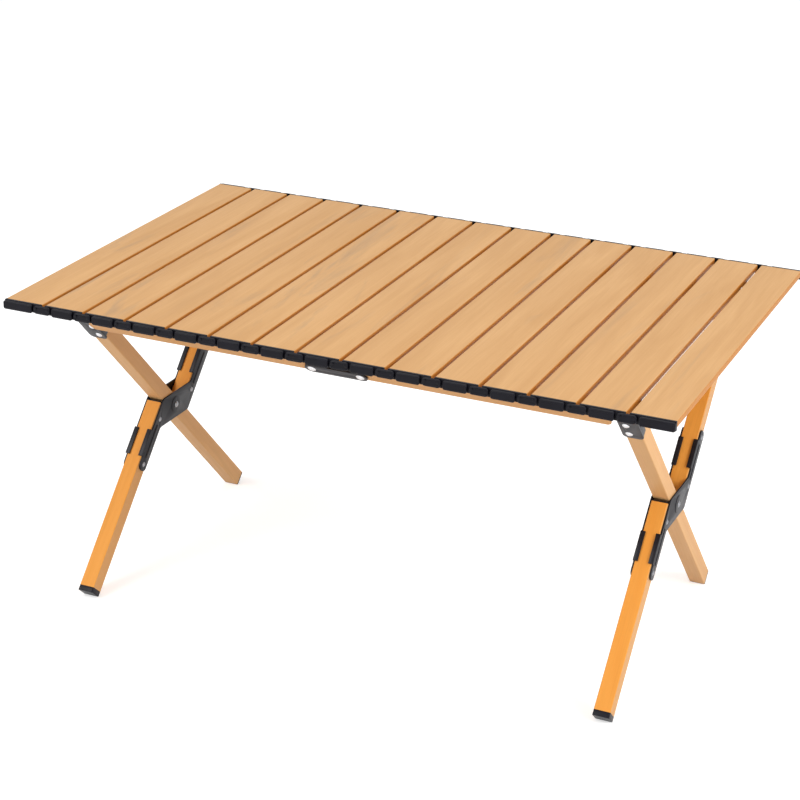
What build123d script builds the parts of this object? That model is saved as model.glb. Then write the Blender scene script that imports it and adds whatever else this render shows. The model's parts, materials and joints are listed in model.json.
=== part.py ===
from build123d import *
import math
import os

# Roll-top camp table, millimetres. The origin is on the floor under the middle of the top.
# X runs along the table, Y towards the back, Z up. The wood-look top ends at table_height.
# Slats hang together by a small link at each end of every gap, so the top rolls up.
# The frame is a crossed pair of legs at each end, joined by a front and a back folding rail.

# Driving dimensions of the roll-up top
table_height = 434.0
slat_count = 15
slat_width = 55.0
slat_gap = 5.0
slat_length = 560.0
slat_height = 9.0
slat_wall = 1.2
slat_corner = 1.5

# End caps and links of the top
cap_plate = 3.0
cap_drop = 12.0
cap_rim_corner = 0.8
tile_width = 30.5
tile_thickness = 4.5
tile_corner = 2.0
plug_depth = 14.0
plug_clearance = 0.2
link_length = 24.7
link_height = 10.8
link_drop = 0.7
link_corner = 4.5
link_pin_spacing = 18.0
link_pin_radius = 2.0
link_pin_reach = 9.0
link_pin_end_gap = 0.8

# Driving dimensions of the frame
leg_inset = 69.3
leg_end_inset = 77.5
leg_tube = 22.0
tube_wall = 1.5
tube_corner = 1.5
hub_height = 203.0
split_offset = 28.0
crossing_gap = 2.3
rail_tube = 22.0
rail_pivot_inset = 26.0
rail_outset = 10.0

# Feet and plugs
split_foot_cap = 7.5
split_foot_rise = 4.0
straight_foot_cap = 2.2
straight_foot_rise = 0.6
leg_top_gap = 0.8
end_plug_thickness = 1.6
end_plug_depth = 12.0

# Hub plates that hold the two halves of each split leg
hub_plate = 2.0
hub_arm_half = 9.0
hub_arm_end = 113.0
hub_arm_inner = 8.0
hub_neck = 44.0
hub_plate_corner = 7.0
plug_to_rivet = 6.5
end_rivet_at = 104.0
tab_start = 56.0
tab_end = 96.0
tab_lap = 4.0
rib_width = 5.0
rib_rise = 0.8
rib_start = 44.0
rib_end = 94.0
boss_radius = 12.0

# Corner brackets at the leg tops
bracket_plate = 2.0
bracket_length = 66.5
bracket_corner = 7.0
flange_start = 32.5
flange_end = 58.5
flange_depth = 8.5
arm_width = 20.5
arm_reach = 57.0
arm_tip_radius = 6.0
arm_rivet_at = 48.0
arm_rivet_below_edge = 8.0
shelf_width = 11.0
ear_radius = 7.5
leg_rivets_below_top = (32.5, 55.5)
leg_rivet_offset = 4.0

# Middle links of the rails
mid_rivet_spacing = 66.0
mid_link_length = 85.0
mid_link_width = 18.0
mid_link_plate = 2.5

# Rivets and pins
rivet_radius = 2.4
rivet_head_radius = 4.6
rivet_head_height = 1.9
rivet_tail_length = 3.0
screw_head_radius = 3.4
screw_head_height = 1.4
pivot_radius = 3.0
pivot_head_radius = 5.5
pivot_head_height = 2.0
pivot_tail_radius = 4.6
pivot_tail_height = 1.1
hub_pin_radius = 3.0
hub_pin_head_radius = 4.4
hub_pin_head_height = 1.8

# Clearances
face_gap = 0.3
fixed_gap = 0.1
running_gap = 0.06
open_pivot_gap = 0.3
slack = 1.0

# Worked out from the sizes above
pitch = slat_width + slat_gap
top_length = slat_count * pitch - slat_gap
slat_underside = table_height - slat_height
hub_span = top_length - 2 * leg_end_inset
leg_slope = math.atan2(slat_underside - hub_height, slat_length / 2 - leg_inset)
sine = math.sin(leg_slope)
cosine = math.cos(leg_slope)
half_tube = leg_tube / 2
half_rail = rail_tube / 2
hub_y = -split_offset / (2 * sine)
end_x = hub_span / 2
rail_top_rise = (half_rail - tube_corner) * (sine + cosine) + tube_corner
rail_height = slat_underside - face_gap - rail_top_rise
rail_along = (rail_height - hub_height) / sine
split_shift = split_offset * cosine / sine
leg_top_along = (slat_underside - leg_top_gap - hub_height - half_tube * cosine) / sine
straight_foot_along = (hub_height - half_tube * cosine - straight_foot_rise) / sine
split_foot_along = (hub_height + (split_offset - half_tube) * cosine - split_foot_rise) / sine
leg_rivets_at = [leg_top_along - below for below in leg_rivets_below_top]
half_rail_length = (hub_span - 2 * rail_pivot_inset - mid_rivet_spacing) / 2
front_out = (0, -sine, -cosine)
back_out = (0, sine, -cosine)
ceiling = slat_underside - face_gap
back_rail_offset = split_offset + rail_outset
ear_high = rail_outset - half_rail - face_gap
ear_low = ear_high - bracket_plate

# The split tubes start where their inner plugs stay crossing_gap clear of the straight leg
near_face = (split_offset - half_tube) * math.cos(2 * leg_slope)
far_face = (split_offset + half_tube) * math.cos(2 * leg_slope)
plug_start = (half_tube + crossing_gap + max(near_face, far_face)) / math.sin(2 * leg_slope)
split_start = plug_start + end_plug_thickness
inner_rivet_at = split_start + end_plug_depth + plug_to_rivet + rivet_radius


def box_between(low, high):
    """A plain box from its lowest to its highest corner."""
    size = [b - a for a, b in zip(low, high)]
    middle = [(a + b) / 2 for a, b in zip(low, high)]
    return Pos(*middle) * Box(*size)


def extrude_outline(points, start, end, corner=0.0):
    """A flat outline in X and Y, with its corners rounded, between two heights."""
    outline = make_face(Polyline(*points, close=True))
    if corner > 0:
        outline = fillet(outline.vertices(), corner)
    return Pos(0, 0, start) * extrude(outline, end - start)


def disc(radius, start, end, at=(0, 0)):
    """A round disc along Z between two heights."""
    middle = (start + end) / 2
    return Pos(at[0], at[1], middle) * Cylinder(radius, abs(end - start))


def square_tube(width, wall, corner, start, end):
    """A hollow square tube along Y."""
    outer = Rectangle(width, width)
    outer = fillet(outer.vertices(), corner)
    inner = Rectangle(width - 2 * wall, width - 2 * wall)
    section = outer - inner
    along_y = Plane(origin=(0, start, 0), x_dir=(1, 0, 0), z_dir=(0, 1, 0))
    return extrude(along_y * section, end - start)


def dome(radius, height, base, at, up=1):
    """A low domed rivet head that stands on the height called base."""
    ball_radius = (radius ** 2 + height ** 2) / (2 * height)
    ball = Pos(at[0], at[1], base + up * (height - ball_radius)) * Sphere(ball_radius)
    keep = disc(radius, base, base + up * height, at)
    return ball & keep


def front_place(x):
    """The frame of a straight leg: X stays, Y runs up the leg, Z points out to the front."""
    return Plane(origin=(x, hub_y, hub_height), x_dir=(1, 0, 0), z_dir=front_out)


def back_place(x):
    """The frame of a split leg: X is turned round, Y runs up the leg, Z points out to the back."""
    return Plane(origin=(x, hub_y, hub_height), x_dir=(-1, 0, 0), z_dir=back_out)


def cross_place(x):
    """The frame of the hub plates: X runs up the split leg, Y to its upper face, Z is the table's X."""
    return Plane(origin=(x, hub_y, hub_height), x_dir=(0, cosine, sine), z_dir=(1, 0, 0))


def save(name, solids):
    """Write one named piece, which may hold several separate solids."""
    piece = Compound(children=solids) if len(solids) > 1 else solids[0]
    piece.label = name
    export_step(piece, os.path.join("parts", name + ".step"))


# The roll-up top


def slat_tube():
    """One hollow wood-look slat, along Y, with its top face at the height zero."""
    outer = Rectangle(slat_width, slat_height)
    outer = fillet(outer.vertices(), slat_corner)
    inner = Rectangle(slat_width - 2 * slat_wall, slat_height - 2 * slat_wall)
    section = outer - inner
    place = Plane(origin=(0, -slat_length / 2, -slat_height / 2), x_dir=(1, 0, 0), z_dir=(0, 1, 0))
    return extrude(place * section, slat_length)


def cap_face(left, right, top, bottom, corner, start, end):
    """A rounded block seen from the front, from one depth outwards to another."""
    middle_x = (left + right) / 2
    middle_z = (top + bottom) / 2
    outline = Rectangle(right - left, top - bottom)
    outline = fillet(outline.vertices(), corner)
    place = Plane(origin=(middle_x, -start, middle_z), x_dir=(1, 0, 0), z_dir=(0, -1, 0))
    return extrude(place * outline, end - start)


def pin_along_y(x, radius, start, end):
    """A round pin or hole along Y at the height of the link pins, between two depths."""
    place = Plane(origin=(x, -start, -slat_height / 2), x_dir=(1, 0, 0), z_dir=(0, -1, 0))
    return extrude(place * Circle(radius), end - start)


def end_cap(outer_side):
    """The front cap of a slat. outer_side is -1 or 1 on the end slats and 0 elsewhere."""
    half = slat_width / 2
    mouth = slat_length / 2
    plate = cap_face(-half, half, 0, -cap_drop, cap_rim_corner, mouth, mouth + cap_plate)
    plug_half = half - slat_wall - plug_clearance
    plug_top = -slat_wall - plug_clearance
    plug_bottom = -slat_height + slat_wall + plug_clearance
    plug = cap_face(-plug_half, plug_half, plug_top, plug_bottom, cap_rim_corner,
                    mouth - plug_depth, mouth)
    left = -half if outer_side < 0 else -tile_width / 2
    right = half if outer_side > 0 else tile_width / 2
    tile = cap_face(left, right, -cap_rim_corner, -cap_drop, tile_corner,
                    mouth + cap_plate, mouth + cap_plate + tile_thickness)
    cap = plate + plug + tile
    for side in (-1, 1):
        if side == outer_side:
            continue
        hole_x = side * (pitch - link_pin_spacing) / 2
        hole_end = mouth + cap_plate
        cap -= pin_along_y(hole_x, link_pin_radius + running_gap,
                           hole_end - link_pin_reach - link_pin_end_gap, hole_end)
    return cap


def slat(number):
    """A slat and its two end caps, in place."""
    x = (number - (slat_count + 1) / 2) * pitch
    outer_side = 0
    if number == 1:
        outer_side = -1
    if number == slat_count:
        outer_side = 1
    front = end_cap(outer_side)
    back = mirror(front, about=Plane.XZ)
    place = Pos(x, 0, table_height)
    return [place * slat_tube(), place * front, place * back]


def link(number):
    """The front and back link of the gap after a slat, each with its two pins."""
    x = (number - slat_count / 2) * pitch
    inner = slat_length / 2 + cap_plate
    outer = inner + tile_thickness
    body = cap_face(-link_length / 2, link_length / 2, -link_drop, -link_drop - link_height,
                    link_corner, inner + face_gap, outer)
    for side in (-1, 1):
        pin_x = side * link_pin_spacing / 2
        body += pin_along_y(pin_x, link_pin_radius, inner - link_pin_reach, inner + face_gap)
    place = Pos(x, 0, table_height)
    return [place * body, place * mirror(body, about=Plane.XZ)]


# Legs, feet and plugs


def bore_along_x(radius, y=0.0, z=0.0, length=leg_tube + slack):
    """A round bore or shaft along X."""
    return Pos(0, y, z) * Rot(0, 90, 0) * Cylinder(radius, length)


def straight_leg(inner):
    """The one-piece leg from the front rail down to the back foot."""
    tube = square_tube(leg_tube, tube_wall, tube_corner, -straight_foot_along, leg_top_along)
    tube -= bore_along_x(hub_pin_radius + running_gap)
    for along in leg_rivets_at:
        tube -= disc(rivet_radius + running_gap, 0, half_tube + slack,
                     (inner * leg_rivet_offset, along))
    return tube


def split_leg_upper(inner):
    """The upper half of the split leg, behind the straight leg."""
    top = leg_top_along + split_shift
    tube = square_tube(leg_tube, tube_wall, tube_corner, split_start, top)
    for along in (inner_rivet_at, end_rivet_at):
        tube -= bore_along_x(rivet_radius + running_gap, along)
    for along in leg_rivets_at:
        tube -= disc(rivet_radius + running_gap, 0, half_tube + slack,
                     (inner * leg_rivet_offset, along + split_shift))
    return Pos(0, 0, split_offset) * tube


def split_leg_lower():
    """The lower half of the split leg, in front of the straight leg."""
    tube = square_tube(leg_tube, tube_wall, tube_corner, -split_foot_along, -split_start)
    for along in (inner_rivet_at, end_rivet_at):
        tube -= bore_along_x(rivet_radius + running_gap, -along)
    return Pos(0, 0, -split_offset) * tube


def end_plug(along, outward):
    """A thin square plug in a tube end. outward is 1 at an upper end and -1 at a lower one."""
    inside = leg_tube - 2 * tube_wall - 2 * plug_clearance
    rim = Pos(0, along + outward * end_plug_thickness / 2, 0) * Box(leg_tube, end_plug_thickness, leg_tube)
    spigot = Pos(0, along - outward * end_plug_depth / 2, 0) * Box(inside, end_plug_depth, inside)
    return rim + spigot


def foot_cap(along, thickness):
    """A square cap on a lower leg end, before its corner is cut flat on the floor."""
    outline = Rectangle(leg_tube, leg_tube)
    outline = fillet(outline.vertices(), tube_corner)
    down = Plane(origin=(0, -along, 0), x_dir=(1, 0, 0), z_dir=(0, -1, 0))
    cap = extrude(down * outline, thickness)
    inside = leg_tube - 2 * tube_wall - 2 * plug_clearance
    spigot = Pos(0, -along + end_plug_depth / 2, 0) * Box(inside, end_plug_depth, inside)
    return cap + spigot


def cut_at_floor(solid):
    """Cut a placed solid flat where it stands on the floor."""
    reach = hub_span
    below = box_between((-reach, -reach, -reach), (reach, reach, 0))
    return solid - below


def cut_under_slats(solid):
    """Keep a placed solid clear of the underside of the slats."""
    reach = hub_span
    above = box_between((-reach, -reach, ceiling), (reach, reach, ceiling + reach))
    return solid - above


# Brackets, plates and rivets


def corner_bracket(inner, along_shift, offset):
    """A stamped bracket on the outer face of a leg top, with an ear for the rail and a shelf arm."""
    near = half_tube + fixed_gap
    far = near + bracket_plate
    top = leg_top_along
    low = top - bracket_length
    web_points = [(-far, low), (far, low), (far, top), (-far, top)]
    web = extrude_outline(web_points, near, far)
    lower_corners = [edge for edge in web.edges().filter_by(Axis.Z) if edge.center().Y < low + slack]
    web = fillet(lower_corners, bracket_corner)
    outer_flange = box_between((near, top - flange_end, near - flange_depth), (far, top - flange_start, far))
    inner_flange = box_between((near, top - flange_end, near - flange_depth), (far, top, far))
    ear = box_between((near, rail_along - ear_radius, ear_low),
                      (rail_pivot_inset, rail_along + ear_radius, ear_high))
    ear += disc(ear_radius, ear_low, ear_high, (rail_pivot_inset, rail_along))
    ear_wall = box_between((near, rail_along - ear_radius, ear_low), (far, top, near))
    arm = box_between((-arm_reach, top - arm_width, near), (0, top, far))
    arm_tip = [edge for edge in arm.edges().filter_by(Axis.Z) if edge.center().X < -arm_reach + slack]
    arm = fillet(arm_tip, arm_tip_radius)
    bracket = web + inner_flange + ear_wall + ear + arm
    bracket += mirror(outer_flange, about=Plane.YZ)
    bracket -= disc(pivot_radius + running_gap, ear_low - slack, ear_high + slack,
                    (rail_pivot_inset, rail_along))
    for along in leg_rivets_at:
        bracket -= disc(rivet_radius + running_gap, near - slack, far + slack, (leg_rivet_offset, along))
    bracket -= disc(rivet_radius + running_gap, near - slack, far + slack,
                    (-arm_rivet_at, top - arm_rivet_below_edge))
    if inner < 0:
        bracket = mirror(bracket, about=Plane.YZ)
    return Pos(0, along_shift, offset) * bracket


def bracket_shelf(x_outer, x_inner, back_side):
    """The flat lip along the top of a bracket's arm, under the end slat."""
    face = half_tube + fixed_gap + bracket_plate / 2
    edge_y = hub_y - leg_top_along * cosine - face * sine
    edge_z = hub_height + leg_top_along * sine - face * cosine
    low_x = min(x_outer, x_inner)
    high_x = max(x_outer, x_inner)
    wall = box_between((low_x, edge_y - bracket_plate / 2, edge_z - bracket_plate),
                       (high_x, edge_y + bracket_plate / 2, ceiling))
    lip = box_between((low_x, edge_y - bracket_plate / 2, ceiling - bracket_plate),
                      (high_x, edge_y + shelf_width, ceiling))
    shelf = wall + lip
    if back_side:
        shelf = mirror(shelf, about=Plane.XZ)
    return shelf


def rivet_on_face(at, near, head_base):
    """A blind rivet through a bracket and the wall behind it, with its head outwards."""
    shank = disc(rivet_radius, near - rivet_tail_length, head_base, at)
    return shank + dome(rivet_head_radius, rivet_head_height, head_base, at)


def rail_pivot_rivet(at):
    """The blind rivet that a rail half turns on, through the ear and the rail's inner wall."""
    out = rail_outset - half_rail + tube_wall + face_gap
    shank = disc(pivot_radius, ear_low, out, at)
    head = disc(pivot_head_radius, ear_low - pivot_tail_height, ear_low, at)
    return shank + head + dome(pivot_tail_radius, pivot_head_height, out, at)


def bracket_rivets(inner, along_shift, offset):
    """Two leg rivets, the arm rivet and the rail pivot of one bracket."""
    near = half_tube + fixed_gap
    far = near + bracket_plate
    spots = [(inner * leg_rivet_offset, along) for along in leg_rivets_at]
    spots.append((-inner * arm_rivet_at, leg_top_along - arm_rivet_below_edge))
    solids = [rivet_on_face(at, near, far) for at in spots]
    solids.append(rail_pivot_rivet((inner * rail_pivot_inset, rail_along)))
    return [Pos(0, along_shift, offset) * solid for solid in solids]


def hub_plate_solid():
    """One Z-shaped hub plate, flat on the height zero, with its outer face up."""
    reach = hub_arm_end
    high = split_offset + hub_arm_half
    low = split_offset - hub_arm_half
    half_outline = [(-reach, low), (-reach, high), (-hub_arm_inner, high), (hub_neck, -low)]
    points = half_outline + [(-x, -y) for x, y in half_outline]
    plate = extrude_outline(points, 0, hub_plate, hub_plate_corner)
    rib_middle = (rib_start + rib_end) / 2
    rib_length = rib_end - rib_start
    rib = extrude(Pos(-rib_middle, split_offset, hub_plate) * SlotOverall(rib_length, rib_width), rib_rise)
    plate += rib
    plate += mirror(mirror(rib, about=Plane.YZ), about=Plane.XZ)
    plate += disc(boss_radius, hub_plate, hub_plate + rib_rise)
    face = half_tube + face_gap
    for along_low, along_high, middle in ((-tab_end, -tab_start, split_offset),
                                          (tab_start, tab_end, -split_offset)):
        tab_top = middle + face + hub_plate
        plate += box_between((along_low, middle, 0), (along_high, tab_top, hub_plate))
        plate += box_between((along_low, tab_top - hub_plate, -face_gap - tab_lap),
                             (along_high, tab_top, hub_plate))
    plate -= disc(hub_pin_radius + running_gap, -slack, hub_plate + rib_rise + slack)
    for along in (inner_rivet_at, end_rivet_at):
        for side in (-1, 1):
            plate -= disc(rivet_radius + running_gap, -slack, hub_plate + slack,
                          (side * along, -side * split_offset))
    return plate


def hub_plates(x):
    """The two hub plates of one split leg, on either side of the crossing."""
    face = half_tube + face_gap
    right = cross_place(x) * (Pos(0, 0, face) * hub_plate_solid())
    left = mirror(right, about=Plane.YZ.offset(x))
    return [right, left]


def hub_pin(x):
    """The pin that a leg pair turns on, with a domed head outside each plate."""
    base = half_tube + face_gap + hub_plate + rib_rise + face_gap
    shank = disc(hub_pin_radius, -base, base)
    head = dome(hub_pin_head_radius, hub_pin_head_height, base, (0, 0))
    other = dome(hub_pin_head_radius, hub_pin_head_height, -base, (0, 0), -1)
    return cross_place(x) * (shank + head + other)


def through_rivet(x, along, middle):
    """A rivet across both hub plates and the tube between them."""
    base = half_tube + face_gap + hub_plate
    at = (along, middle)
    shank = disc(rivet_radius, -base, base, at)
    head = dome(screw_head_radius, screw_head_height, base, at)
    other = dome(screw_head_radius, screw_head_height, -base, at, -1)
    return cross_place(x) * (shank + head + other)


# Rails


def rail_half(direction, place, along, offset, x):
    """One half of a rail, round-ended, from its bracket pivot to its middle rivet."""
    middle = direction * half_rail_length / 2
    bar = square_tube(rail_tube, tube_wall, tube_corner, -half_rail_length, half_rail_length)
    bar = Rot(0, 0, 90) * bar
    keep = extrude(Pos(0, 0, -rail_tube) * SlotCenterToCenter(half_rail_length, rail_tube), 2 * rail_tube)
    bar = bar & keep
    bar -= disc(pivot_radius + running_gap, -rail_tube, rail_tube, (middle, 0))
    bar -= disc(pivot_radius + running_gap, -rail_tube, 0, (-middle, 0))
    return place(x) * (Pos(middle, along, offset) * bar)


def open_end_rail(bar, place, along, offset, x):
    """Widen the pivot hole of the rail end that stays free of its bracket."""
    hole = disc(pivot_radius + open_pivot_gap, -rail_tube, 0, (0, along))
    return bar - place(x) * (Pos(0, 0, offset) * hole)


def mid_link(place, along, offset):
    """The flat plate that joins the two halves of a rail."""
    near = half_rail + face_gap
    plate = extrude(Pos(0, 0, near) * SlotOverall(mid_link_length, mid_link_width), mid_link_plate)
    for side in (-1, 1):
        plate -= disc(pivot_radius + running_gap, near - slack, near + mid_link_plate + slack,
                      (side * mid_rivet_spacing / 2, 0))
    return place(0) * (Pos(0, along, offset) * plate)


def mid_rivets(place, along, offset):
    """The two pivot rivets of a middle link."""
    outer = half_rail + face_gap + mid_link_plate
    inner = -half_rail - face_gap
    rivets = []
    for side in (-1, 1):
        at = (side * mid_rivet_spacing / 2, 0)
        shank = disc(pivot_radius, inner, outer, at)
        tail = disc(pivot_tail_radius, inner - pivot_tail_height, inner, at)
        rivet = shank + tail + dome(pivot_head_radius, pivot_head_height, outer, at)
        rivets.append(place(0) * (Pos(0, along, offset) * rivet))
    return rivets


# Building and writing every piece


def build_top():
    """Write the slats with their caps, and the links between them."""
    for number in range(1, slat_count + 1):
        save("slat_%02d" % number, slat(number))
    for number in range(1, slat_count):
        save("link_%02d" % number, link(number))


def build_end(side_name, x, inner):
    """Write the crossed legs at one end. inner is the sign of X towards the table's middle."""
    front = front_place(x)
    back = back_place(x)
    back_inner = -inner
    save(side_name + "_straight_leg", [front * straight_leg(inner)])
    foot = cut_at_floor(front * foot_cap(straight_foot_along, straight_foot_cap))
    top_plug = cut_under_slats(front * end_plug(leg_top_along, 1))
    save(side_name + "_straight_leg_caps", [foot, top_plug])
    shelf_x = (x - inner * (half_tube + fixed_gap), x - inner * (arm_reach - arm_tip_radius))
    bracket = front * corner_bracket(inner, 0, 0) + bracket_shelf(*shelf_x, False)
    save(side_name + "_front_bracket", [cut_under_slats(bracket)])
    rivets = [front * solid for solid in bracket_rivets(inner, 0, 0)]
    save(side_name + "_front_rivets", rivets)
    save(side_name + "_hub_pin", [hub_pin(x)])

    save(side_name + "_split_leg_upper", [back * split_leg_upper(back_inner)])
    save(side_name + "_split_leg_lower", [back * split_leg_lower()])
    save(side_name + "_hub_plates", hub_plates(x))
    lower = Pos(0, 0, -split_offset)
    upper = Pos(0, 0, split_offset)
    split_foot = cut_at_floor(back * (lower * foot_cap(split_foot_along, split_foot_cap)))
    lower_plug = back * (lower * end_plug(-split_start, 1))
    upper_plug = back * (upper * end_plug(split_start, -1))
    high_plug = cut_under_slats(back * (upper * end_plug(leg_top_along + split_shift, 1)))
    save(side_name + "_split_leg_caps", [split_foot, lower_plug, upper_plug, high_plug])
    bracket = back * corner_bracket(back_inner, split_shift, split_offset)
    bracket += bracket_shelf(*shelf_x, True)
    save(side_name + "_back_bracket", [cut_under_slats(bracket)])
    rivets = [back * solid for solid in bracket_rivets(back_inner, split_shift, split_offset)]
    for along in (inner_rivet_at, end_rivet_at):
        rivets.append(through_rivet(x, along, -split_offset))
        rivets.append(through_rivet(x, -along, split_offset))
    save(side_name + "_split_leg_rivets", rivets)


def build_rails():
    """Write the two folding rails and their middle links."""
    outer_x = end_x - rail_pivot_inset
    back_along = rail_along + split_shift
    save("front_rail_left", [rail_half(1, front_place, rail_along, rail_outset, -outer_x)])
    save("front_rail_right", [rail_half(-1, front_place, rail_along, rail_outset, outer_x)])
    save("back_rail_left", [rail_half(-1, back_place, back_along, back_rail_offset, -outer_x)])
    open_bar = rail_half(1, back_place, back_along, back_rail_offset, outer_x)
    open_bar = open_end_rail(open_bar, back_place, back_along, back_rail_offset, outer_x)
    save("back_rail_right", [open_bar])
    save("front_mid_link", [mid_link(front_place, rail_along, rail_outset)])
    save("back_mid_link", [mid_link(back_place, back_along, back_rail_offset)])
    save("front_mid_rivets", mid_rivets(front_place, rail_along, rail_outset))
    save("back_mid_rivets", mid_rivets(back_place, back_along, back_rail_offset))


os.makedirs("parts", exist_ok=True)
build_top()
build_end("left", -end_x, 1)
build_end("right", end_x, -1)
build_rails()
print("hub y %.3f z %.3f, slope %.4f, rail line y %.3f z %.3f, pivots at x %.2f" % (
    hub_y, hub_height, math.degrees(leg_slope), hub_y - rail_along * cosine - rail_outset * sine,
    rail_height - rail_outset * cosine, end_x - rail_pivot_inset))
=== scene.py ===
import json
import math

import bmesh
import bpy
from mathutils import Matrix, Vector

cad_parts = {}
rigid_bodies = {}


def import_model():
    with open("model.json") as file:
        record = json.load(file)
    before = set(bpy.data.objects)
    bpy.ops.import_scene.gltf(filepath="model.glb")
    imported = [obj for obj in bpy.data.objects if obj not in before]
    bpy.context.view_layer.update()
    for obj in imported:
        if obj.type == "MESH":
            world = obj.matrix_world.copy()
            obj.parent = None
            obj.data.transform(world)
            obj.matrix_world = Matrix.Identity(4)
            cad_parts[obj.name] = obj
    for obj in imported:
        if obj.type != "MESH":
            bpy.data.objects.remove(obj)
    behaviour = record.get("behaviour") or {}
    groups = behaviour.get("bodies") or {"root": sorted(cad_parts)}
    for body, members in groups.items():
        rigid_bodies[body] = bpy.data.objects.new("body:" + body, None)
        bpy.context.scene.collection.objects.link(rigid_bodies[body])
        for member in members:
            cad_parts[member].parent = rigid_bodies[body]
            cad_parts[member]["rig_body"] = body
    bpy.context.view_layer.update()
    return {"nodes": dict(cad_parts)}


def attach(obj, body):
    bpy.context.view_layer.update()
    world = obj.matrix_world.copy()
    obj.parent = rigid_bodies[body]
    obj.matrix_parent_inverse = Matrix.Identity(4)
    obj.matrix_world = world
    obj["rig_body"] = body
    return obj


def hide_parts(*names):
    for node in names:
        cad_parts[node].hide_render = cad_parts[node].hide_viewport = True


# Looks of a roll-top camp table, in metres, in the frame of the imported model.
# X runs along the table, Y to the back and Z up. The slats, end caps and links are made here.
# The brackets, hub plates, middle links and leg caps get rounded edges, and the tubes and
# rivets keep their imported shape.

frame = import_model()

# Sizes of the roll-up top, the same as in the CAD source
table_height = 0.434
slat_count = 15
slat_width = 0.055
slat_gap = 0.005
slat_length = 0.560
slat_height = 0.009
slat_corner = 0.0016
cap_plate = 0.003
cap_drop = 0.012
tile_width = 0.0305
tile_thickness = 0.0045
tile_corner = 0.0026
rim = 0.0008
link_length = 0.0247
link_height = 0.0108
link_drop = 0.0007
link_corner = 0.0045
link_pin_spacing = 0.018
link_gap = 0.0003
pitch = slat_width + slat_gap

# Finer shape of the end caps and links: soft edges, a raised rim and a shallow pocket inside it
tile_softness = 0.0011
shoulder_depth = 0.4 * tile_softness
shoulder_inset = 0.3 * tile_softness
link_back_edge = 0.5 * tile_softness
pocket_rim = 0.0007
tile_pocket = 0.0004
link_pocket = 0.0009
pin_diameter = 0.0042
pin_root = 0.006

# Roundness of the pieces
corner_steps = 5
least_corner_share = 0.35
smooth_angle = 35.0
weld_distance = 0.00001
flat_angle = 1.0
edge_angle = 50.0
plastic_edge = 0.0006
steel_edge = 0.0004

# Slope of the legs, for the run of their grain
slat_underside = table_height - slat_height
hub_height = 0.203
leg_inset = 0.0693
leg_slope = math.atan2(slat_underside - hub_height, slat_length / 2 - leg_inset)

# The camera, fitted to the photograph
camera_place = (1.0077, -2.2920, 1.3336)
camera_azimuth = 24.095
camera_elevation = 23.047
camera_roll = 0.784
focal_pixels = 2018.6
picture_pixels = 800
sensor_width = 36.0

# Floor, sky and lamps
table_middle = (0.0, 0.0, 0.3)
white = (1.0, 1.0, 1.0, 1.0)
floor_reach = 9.0
floor_grey = 0.80
floor_roughness = 0.9
floor_specular = 0.1
floor_glow = 0.50
sky_colour = (0.97, 0.98, 1.0, 1.0)
sky_strength = 0.55

# Places of the colour sockets on a mix node
mix_factor = 0
mix_low = 6
mix_high = 7
mix_result = 2


# Node helpers


def new_material(name):
    """An empty node material, with its tree and its main shader."""
    material = bpy.data.materials.new(name)
    material.use_nodes = True
    tree = material.node_tree
    return material, tree, tree.nodes["Principled BSDF"]


def add(tree, kind, **values):
    """A node with its properties and input values set by name."""
    node = tree.nodes.new(kind)
    for key, value in values.items():
        if key in node.inputs:
            node.inputs[key].default_value = value
        else:
            setattr(node, key, value)
    return node


def link(tree, source, output, target, socket):
    tree.links.new(source.outputs[output], target.inputs[socket])


def local_coordinates(tree, rotation=(0.0, 0.0, 0.0), stretch=1.0):
    """Coordinates on the piece, turned so that the grain runs along Y, and stretched along it."""
    place = add(tree, "ShaderNodeTexCoord")
    turn = add(tree, "ShaderNodeMapping", Rotation=rotation)
    scale = add(tree, "ShaderNodeMapping", Scale=(1.0, stretch, 1.0))
    link(tree, place, "Object", turn, "Vector")
    link(tree, turn, "Vector", scale, "Vector")
    return scale


def noise(tree, coordinates, scale, detail, roughness=0.5, distortion=0.0):
    texture = add(tree, "ShaderNodeTexNoise", Scale=scale, Detail=detail,
                  Roughness=roughness, Distortion=distortion)
    link(tree, coordinates, "Vector", texture, "Vector")
    return texture


def fade(tree, source, start, end, low=0.0, high=1.0):
    """A grey that goes from low to high as the source's first output goes from start to end."""
    node = add(tree, "ShaderNodeValToRGB")
    for element, place, grey in zip(node.color_ramp.elements, (start, end), (low, high)):
        element.position = place
        element.color = (grey, grey, grey, 1.0)
    link(tree, source, 0, node, "Fac")
    return node


def multiply(tree, source, amount):
    """The source's first output times an amount, which is a number or a node."""
    node = add(tree, "ShaderNodeMath", operation="MULTIPLY")
    link(tree, source, 0, node, 0)
    if isinstance(amount, float):
        node.inputs[1].default_value = amount
    else:
        link(tree, amount, 0, node, 1)
    return node


def mix(tree, mask, low, high):
    """A mix of two colours by the mask's first output. Each is a colour or the mix that makes it."""
    node = add(tree, "ShaderNodeMix", data_type="RGBA")
    link(tree, mask, 0, node, mix_factor)
    for socket, colour in ((mix_low, low), (mix_high, high)):
        if isinstance(colour, tuple):
            node.inputs[socket].default_value = (*colour, 1.0)
        else:
            link(tree, colour, mix_result, node, socket)
    return node


def painted_side_shade_mask(tree):
    """Near 1 on the faces that look along the piece's own X, and 0 on its other faces: the mask of
    the painted light and shade on those side faces.
    """
    place = add(tree, "ShaderNodeTexCoord")
    parts = add(tree, "ShaderNodeSeparateXYZ")
    link(tree, place, "Normal", parts, "Vector")
    size = add(tree, "ShaderNodeMath", operation="ABSOLUTE")
    link(tree, parts, "X", size, 0)
    return fade(tree, size, start=0.60, end=0.92, high=0.88)


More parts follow.
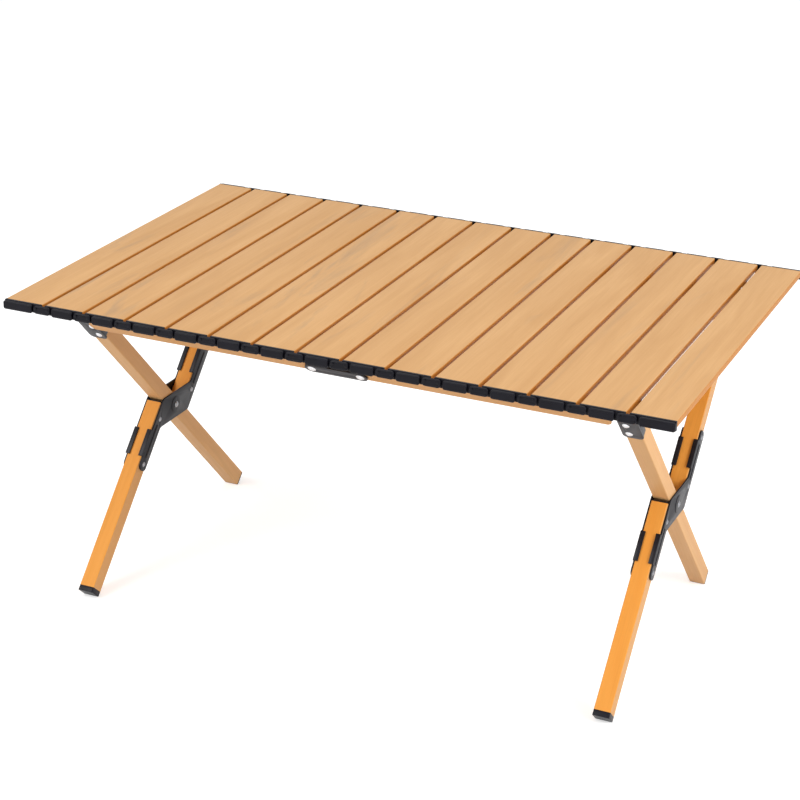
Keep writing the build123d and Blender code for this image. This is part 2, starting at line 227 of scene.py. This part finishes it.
def set_surface(tree, shader, colour, gloss, specular=0.5, metallic=0.0):
    """Gives the shader its colour from a mix, its roughness from a fade, and its shine."""
    link(tree, colour, mix_result, shader, "Base Color")
    link(tree, gloss, "Color", shader, "Roughness")
    shader.inputs["Specular IOR Level"].default_value = specular
    shader.inputs["Metallic"].default_value = metallic


def set_relief(tree, shader, texture, strength, depth):
    """Gives the shader a fine relief from a noise."""
    node = add(tree, "ShaderNodeBump", Strength=strength, Distance=depth)
    link(tree, texture, "Fac", node, "Height")
    link(tree, node, "Normal", shader, "Normal")


# Materials


def wood_finish(name, base, pale, streak, streak_amount, rotation, side=None):
    """Printed wood grain on aluminium: soft bands, fine fibres and a few grey streaks, and, when a
    side colour is given, painted light and shade on the faces along X.
    """
    material, tree, shader = new_material(name)
    bands = noise(tree, local_coordinates(tree, rotation, stretch=0.10),
                  scale=34.0, detail=3.0, roughness=0.55, distortion=0.6)
    fibres = noise(tree, local_coordinates(tree, rotation, stretch=0.022),
                   scale=520.0, detail=4.0, roughness=0.6)
    smears = noise(tree, local_coordinates(tree, rotation, stretch=0.13),
                   scale=20.0, detail=5.0, roughness=0.62, distortion=1.2)
    patches = noise(tree, local_coordinates(tree, rotation, stretch=0.5), scale=5.0, detail=2.0)
    band_mask = fade(tree, bands, start=0.32, end=0.68)
    fibre_mask = fade(tree, fibres, start=0.35, end=0.75)
    smear_mask = fade(tree, smears, start=0.56, end=0.70)
    patch_mask = fade(tree, patches, start=0.40, end=0.66, low=0.15)
    fibre_colour = tuple(part * 0.86 for part in base)
    colour = mix(tree, band_mask, base, pale)
    colour = mix(tree, multiply(tree, fibre_mask, 0.30), colour, fibre_colour)
    patchy_smears = multiply(tree, smear_mask, patch_mask)
    colour = mix(tree, multiply(tree, patchy_smears, streak_amount), colour, streak)
    # Painted light and shade: the faces along X take the side colour because of how light falls on
    # them, not because the wood has that colour.
    if side is not None:
        colour = mix(tree, painted_side_shade_mask(tree), colour, side)
    gloss = fade(tree, fibres, start=0.2, end=0.8, low=0.42, high=0.56)
    set_surface(tree, shader, colour, gloss, specular=0.20)
    set_relief(tree, shader, fibres, strength=0.12, depth=0.0002)
    return material


def plastic_finish(name, base, pale, roughness):
    """Black moulded plastic with a fine spark-eroded texture and slightly rubbed patches."""
    material, tree, shader = new_material(name)
    place = local_coordinates(tree)
    pits = noise(tree, place, scale=1500.0, detail=2.0, roughness=0.6)
    rubs = noise(tree, place, scale=60.0, detail=4.0, roughness=0.6, distortion=0.4)
    colour = mix(tree, fade(tree, rubs, start=0.42, end=0.72), base, pale)
    gloss = fade(tree, rubs, start=0.3, end=0.7, low=roughness, high=roughness + 0.12)
    set_surface(tree, shader, colour, gloss, specular=0.16)
    set_relief(tree, shader, pits, strength=0.18, depth=0.0001)
    return material


def painted_steel(name, base, pale, roughness):
    """Charcoal powder coat: an orange-peel surface, faint cloudiness and worn paler spots."""
    material, tree, shader = new_material(name)
    place = local_coordinates(tree)
    peel = noise(tree, place, scale=900.0, detail=2.0)
    clouds = noise(tree, place, scale=45.0, detail=4.0, roughness=0.6, distortion=0.5)
    wear = noise(tree, place, scale=240.0, detail=5.0, roughness=0.7)
    worn = tuple(min(1.0, part * 2.2) for part in pale)
    colour = mix(tree, fade(tree, clouds, start=0.35, end=0.70), base, pale)
    colour = mix(tree, fade(tree, wear, start=0.66, end=0.76, high=0.5), colour, worn)
    gloss = fade(tree, clouds, start=0.3, end=0.7, low=roughness, high=roughness + 0.10)
    set_surface(tree, shader, colour, gloss, specular=0.24)
    set_relief(tree, shader, peel, strength=0.22, depth=0.00012)
    return material


def bare_steel(name, base):
    """Zinc-plated rivet steel with fine turning marks and a little dulling."""
    material, tree, shader = new_material(name)
    place = local_coordinates(tree)
    dulling = noise(tree, place, scale=420.0, detail=4.0, roughness=0.65)
    marks = noise(tree, place, scale=2600.0, detail=2.0)
    dull = tuple(part * 0.72 for part in base)
    colour = mix(tree, fade(tree, dulling, start=0.40, end=0.75), base, dull)
    gloss = fade(tree, dulling, start=0.3, end=0.8, low=0.22, high=0.42)
    set_surface(tree, shader, colour, gloss, metallic=1.0)
    set_relief(tree, shader, marks, strength=0.15, depth=0.00005)
    return material


def srgb(red, green, blue):
    """A colour written as it looks on screen, from 0 to 255, as the renderer's linear values."""
    def linear(value):
        value = value / 255
        return value / 12.92 if value <= 0.04045 else ((value + 0.055) / 1.055) ** 2.4
    return linear(red), linear(green), linear(blue)


along_y = (0.0, 0.0, 0.0)
along_x = (0.0, 0.0, math.pi / 2)
along_straight_leg = (leg_slope, 0.0, 0.0)
along_split_leg = (-leg_slope, 0.0, 0.0)
# The side colour on the slats' long side faces is a painted shade in the gaps between the slats: a
# darker, deeper orange than the top.
top_wood = wood_finish("wood_top", base=srgb(199, 151, 97), pale=srgb(211, 164, 110),
                       streak=srgb(140, 122, 104), streak_amount=0.46,
                       rotation=along_y, side=srgb(184, 116, 36))
straight_wood = wood_finish("wood_straight_leg", base=srgb(212, 161, 106), pale=srgb(221, 172, 117),
                            streak=srgb(172, 132, 88), streak_amount=0.22,
                            rotation=along_straight_leg)
# The side colour on the split legs' side faces is painted light and shade: a tan in place of the lit
# orange of their front faces.
split_wood = wood_finish("wood_split_leg", base=srgb(229, 151, 60), pale=srgb(237, 163, 72),
                         streak=srgb(188, 130, 60), streak_amount=0.18,
                         rotation=along_split_leg, side=srgb(208, 157, 102))
rail_wood = wood_finish("wood_rail", base=srgb(212, 154, 94), pale=srgb(222, 166, 106),
                        streak=srgb(176, 128, 78), streak_amount=0.22, rotation=along_x)
black_plastic = plastic_finish("plastic_black", srgb(13, 12, 20), srgb(20, 19, 28), roughness=0.34)
charcoal_steel = painted_steel("steel_charcoal", srgb(16, 15, 22), srgb(27, 26, 34), roughness=0.36)
rivet_steel = bare_steel("steel_bright", srgb(222, 222, 225))
screw_steel = bare_steel("steel_dull", srgb(150, 150, 154))


# Piece making


def finish_piece(name, mesh, material, body):
    """An object from a bmesh, shaded smooth except at sharp edges, riding on its body."""
    data = bpy.data.meshes.new(name)
    bmesh.ops.recalc_face_normals(mesh, faces=mesh.faces)
    mesh.to_mesh(data)
    mesh.free()
    data.materials.append(material)
    data.shade_smooth()
    data.set_sharp_from_angle(angle=math.radians(smooth_angle))
    piece = bpy.data.objects.new(name, data)
    bpy.context.scene.collection.objects.link(piece)
    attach(piece, body)
    return piece


def rounded_outline(width, height, corner):
    """Points round a rectangle with round corners, centred on zero."""
    points = []
    quarter = math.pi / 2
    for turn, (side_x, side_z) in enumerate(((1, 1), (-1, 1), (-1, -1), (1, -1))):
        centre_x = side_x * (width / 2 - corner)
        centre_z = side_z * (height / 2 - corner)
        for step in range(corner_steps + 1):
            angle = quarter * (turn + step / corner_steps)
            x = centre_x + corner * math.cos(angle)
            z = centre_z + corner * math.sin(angle)
            points.append((x, z))
    return points


def add_block(mesh, width, height, corner, depths, insets, place, outward):
    """A rounded block in rings along Y, each with a depth and an inset from the full outline."""
    rings = []
    for depth, inset in zip(depths, insets):
        ring_corner = max(corner - inset, corner * least_corner_share)
        outline = rounded_outline(width - 2 * inset, height - 2 * inset, ring_corner)
        ring = [mesh.verts.new((place[0] + x, outward * (place[1] + depth), place[2] + z))
                for x, z in outline]
        rings.append(ring)
    for near, far in zip(rings, rings[1:]):
        count = len(near)
        for index in range(count):
            after = (index + 1) % count
            mesh.faces.new((near[index], near[after], far[after], far[index]))
    mesh.faces.new(rings[0])
    mesh.faces.new(rings[-1])


def end_name(outward):
    return "front" if outward < 0 else "back"


def make_slat(number, x):
    """The wood-look tube of one slat, with softly rounded long edges."""
    mesh = bmesh.new()
    half = slat_length / 2
    add_block(mesh, slat_width, slat_height, slat_corner, (-half, half), (0.0, 0.0),
              (x, 0.0, table_height - slat_height / 2), 1)
    body = "slat_%02d" % number
    slat = finish_piece(body + "_tube", mesh, top_wood, body)
    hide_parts(body)


def make_cap(number, x, outward):
    """An end cap: a plate over the slat's end and a raised tile, to the corner on the end slats."""
    mesh = bmesh.new()
    mouth = slat_length / 2
    add_block(mesh, slat_width, cap_drop, rim, (0.0, cap_plate - rim / 2, cap_plate),
              (0.0, 0.0, rim / 2), (x, mouth, table_height - cap_drop / 2), outward)
    left = -slat_width / 2 if number == 1 else -tile_width / 2
    right = slat_width / 2 if number == slat_count else tile_width / 2
    tile_height = cap_drop - rim
    soft = tile_softness
    face = cap_plate + tile_thickness
    pocket = soft + pocket_rim
    depths = (cap_plate - rim, face - soft, face - shoulder_depth, face, face, face - tile_pocket)
    insets = (0.0, 0.0, shoulder_inset, soft, pocket, pocket + tile_pocket)
    add_block(mesh, right - left, tile_height, tile_corner, depths, insets,
              (x + (left + right) / 2, mouth, table_height - rim - tile_height / 2), outward)
    body = "slat_%02d" % number
    finish_piece(body + "_" + end_name(outward) + "_cap", mesh, black_plastic, body)


def make_link(number, x, outward):
    """One link between two slats: a pill with a raised rim, a pocket and the ends of two pins."""
    mesh = bmesh.new()
    start = slat_length / 2 + cap_plate + link_gap
    thickness = tile_thickness - link_gap
    soft = tile_softness
    middle_z = table_height - link_drop - link_height / 2
    face = thickness - rim / 2
    pocket = soft + pocket_rim
    depths = (0.0, link_back_edge, face - soft, face - shoulder_depth, face, face, face - link_pocket)
    insets = (link_back_edge, 0.0, 0.0, shoulder_inset, soft, pocket, pocket + link_pocket)
    add_block(mesh, link_length, link_height, link_corner, depths, insets,
              (x, start, middle_z), outward)
    for side in (-1, 1):
        pin_x = x + side * link_pin_spacing / 2
        add_block(mesh, pin_diameter, pin_diameter, pin_diameter / 2,
                  (-pin_root, thickness - rim / 2, thickness - rim / 4), (0.0, 0.0, rim / 2),
                  (pin_x, start, table_height - slat_height / 2), outward)
    body = "link_%02d" % number
    piece = finish_piece(body + "_" + end_name(outward), mesh, black_plastic, body)
    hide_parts(body)


def make_top():
    """All slats, end caps and links."""
    for number in range(1, slat_count + 1):
        x = (number - (slat_count + 1) / 2) * pitch
        make_slat(number, x)
        make_cap(number, x, -1)
        make_cap(number, x, 1)
    for number in range(1, slat_count):
        x = (number - slat_count / 2) * pitch
        make_link(number, x, -1)
        make_link(number, x, 1)


def soften(node, material, width):
    """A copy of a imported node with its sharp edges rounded, in the node's place."""
    original = frame["nodes"][node]
    mesh = bmesh.new()
    mesh.from_mesh(original.data)
    bmesh.ops.remove_doubles(mesh, verts=mesh.verts, dist=weld_distance)
    bmesh.ops.dissolve_limit(mesh, angle_limit=math.radians(flat_angle),
                             verts=mesh.verts, edges=mesh.edges)
    sharp = [edge for edge in mesh.edges
             if edge.is_manifold and edge.calc_face_angle(0.0) > math.radians(edge_angle)]
    bmesh.ops.bevel(mesh, geom=sharp, offset=width, offset_type="OFFSET", segments=2,
                    profile=0.5, affect="EDGES", clamp_overlap=True)
    piece = finish_piece(node + "_shaped", mesh, material, original["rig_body"])
    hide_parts(node)


def dress_node(node, material):
    """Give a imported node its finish."""
    slots = frame["nodes"][node].data.materials
    for index in range(len(slots)):
        slots[index] = material
    if len(slots) == 0:
        slots.append(material)


def make_frame():
    """Finishes and softer edges for the legs, rails, brackets and rivets."""
    for side in ("left", "right"):
        dress_node(side + "_straight_leg", straight_wood)
        dress_node(side + "_split_leg_upper", split_wood)
        dress_node(side + "_split_leg_lower", split_wood)
        for caps in ("_straight_leg_caps", "_split_leg_caps"):
            soften(side + caps, black_plastic, plastic_edge)
        for bracket in ("_front_bracket", "_back_bracket", "_hub_plates"):
            soften(side + bracket, charcoal_steel, steel_edge)
        dress_node(side + "_front_rivets", rivet_steel)
        for screws in ("_hub_pin", "_split_leg_rivets"):
            dress_node(side + screws, screw_steel)
    for end in ("front", "back"):
        for side in ("left", "right"):
            dress_node(end + "_rail_" + side, rail_wood)
        soften(end + "_mid_link", charcoal_steel, steel_edge)
        dress_node(end + "_mid_rivets", rivet_steel)


# Floor, light and camera


def seen_rays(tree):
    """1 for rays from the camera, from gloss and through clear material, and 0 for the rest."""
    path = add(tree, "ShaderNodeLightPath")
    direct = add(tree, "ShaderNodeMath", operation="MAXIMUM")
    link(tree, path, "Is Camera Ray", direct, 0)
    link(tree, path, "Is Glossy Ray", direct, 1)
    seen = add(tree, "ShaderNodeMath", operation="MAXIMUM")
    link(tree, direct, "Value", seen, 0)
    link(tree, path, "Is Transmission Ray", seen, 1)
    return seen


def choose(tree, hidden, shown):
    """The shown shader for the rays that are seen, and the hidden one for the light they give."""
    node = add(tree, "ShaderNodeMixShader")
    link(tree, seen_rays(tree), "Value", node, "Fac")
    link(tree, hidden, 0, node, 1)
    link(tree, shown, 0, node, 2)
    return node


def make_floor():
    """A plain white floor that keeps the table's shadow."""
    mesh = bmesh.new()
    bmesh.ops.create_grid(mesh, x_segments=1, y_segments=1, size=floor_reach)
    data = bpy.data.meshes.new("floor")
    mesh.to_mesh(data)
    mesh.free()
    floor = bpy.data.objects.new("floor", data)
    bpy.context.scene.collection.objects.link(floor)
    material, tree, shader = new_material("floor_white")
    shader.inputs["Base Color"].default_value = (floor_grey, floor_grey, floor_grey, 1.0)
    shader.inputs["Roughness"].default_value = floor_roughness
    shader.inputs["Specular IOR Level"].default_value = floor_specular
    glow = add(tree, "ShaderNodeEmission", Color=white, Strength=floor_glow)
    no_glow = add(tree, "ShaderNodeEmission", Strength=0.0)
    total = add(tree, "ShaderNodeAddShader")
    link(tree, shader, 0, total, 0)
    link(tree, choose(tree, no_glow, glow), 0, total, 1)
    link(tree, total, 0, tree.nodes["Material Output"], "Surface")
    data.materials.append(material)


def make_world():
    """A soft even sky, seen as white."""
    world = bpy.data.worlds.new("studio")
    bpy.context.scene.world = world
    world.use_nodes = True
    tree = world.node_tree
    sky = tree.nodes["Background"]
    sky.inputs["Color"].default_value = sky_colour
    sky.inputs["Strength"].default_value = sky_strength
    plain = add(tree, "ShaderNodeBackground", Color=white, Strength=1.0)
    link(tree, choose(tree, sky, plain), 0, tree.nodes["World Output"], "Surface")


def make_lamp(name, place, size, power, colour):
    """A soft square lamp that faces the middle of the table."""
    data = bpy.data.lights.new(name, "AREA")
    data.shape = "SQUARE"
    data.size = size
    data.energy = power
    data.color = colour
    lamp = bpy.data.objects.new(name, data)
    lamp.location = place
    lamp.rotation_euler = (Vector(table_middle) - Vector(place)).to_track_quat("-Z", "Y").to_euler()
    bpy.context.scene.collection.objects.link(lamp)


def make_camera():
    """The photograph's viewpoint."""
    azimuth = math.radians(camera_azimuth)
    elevation = math.radians(camera_elevation)
    roll = math.radians(camera_roll)
    forward = Vector((-math.sin(azimuth) * math.cos(elevation),
                      math.cos(azimuth) * math.cos(elevation), -math.sin(elevation)))
    level_right = Vector((math.cos(azimuth), math.sin(azimuth), 0.0))
    level_up = level_right.cross(forward)
    right = level_right * math.cos(roll) + level_up * math.sin(roll)
    up = level_up * math.cos(roll) - level_right * math.sin(roll)
    turn = Matrix((right, up, -forward)).transposed().to_4x4()
    data = bpy.data.cameras.new("camera")
    data.sensor_fit = "HORIZONTAL"
    data.sensor_width = sensor_width
    data.lens = focal_pixels / picture_pixels * sensor_width
    camera = bpy.data.objects.new("camera", data)
    camera.matrix_world = Matrix.Translation(camera_place) @ turn
    bpy.context.scene.collection.objects.link(camera)
    bpy.context.scene.camera = camera


bpy.context.scene.view_settings.view_transform = "Standard"
make_camera()
make_top()
make_frame()
make_floor()
make_world()
make_lamp("key", place=(-1.7, -2.4, 2.4), size=1.6, power=56.0, colour=(1.0, 0.99, 0.965))
make_lamp("fill", place=(2.6, -0.7, 1.5), size=1.3, power=46.0, colour=(1.0, 0.995, 0.98))
make_lamp("top", place=(0.2, 0.6, 3.0), size=2.4, power=21.0, colour=(1.0, 1.0, 1.0))
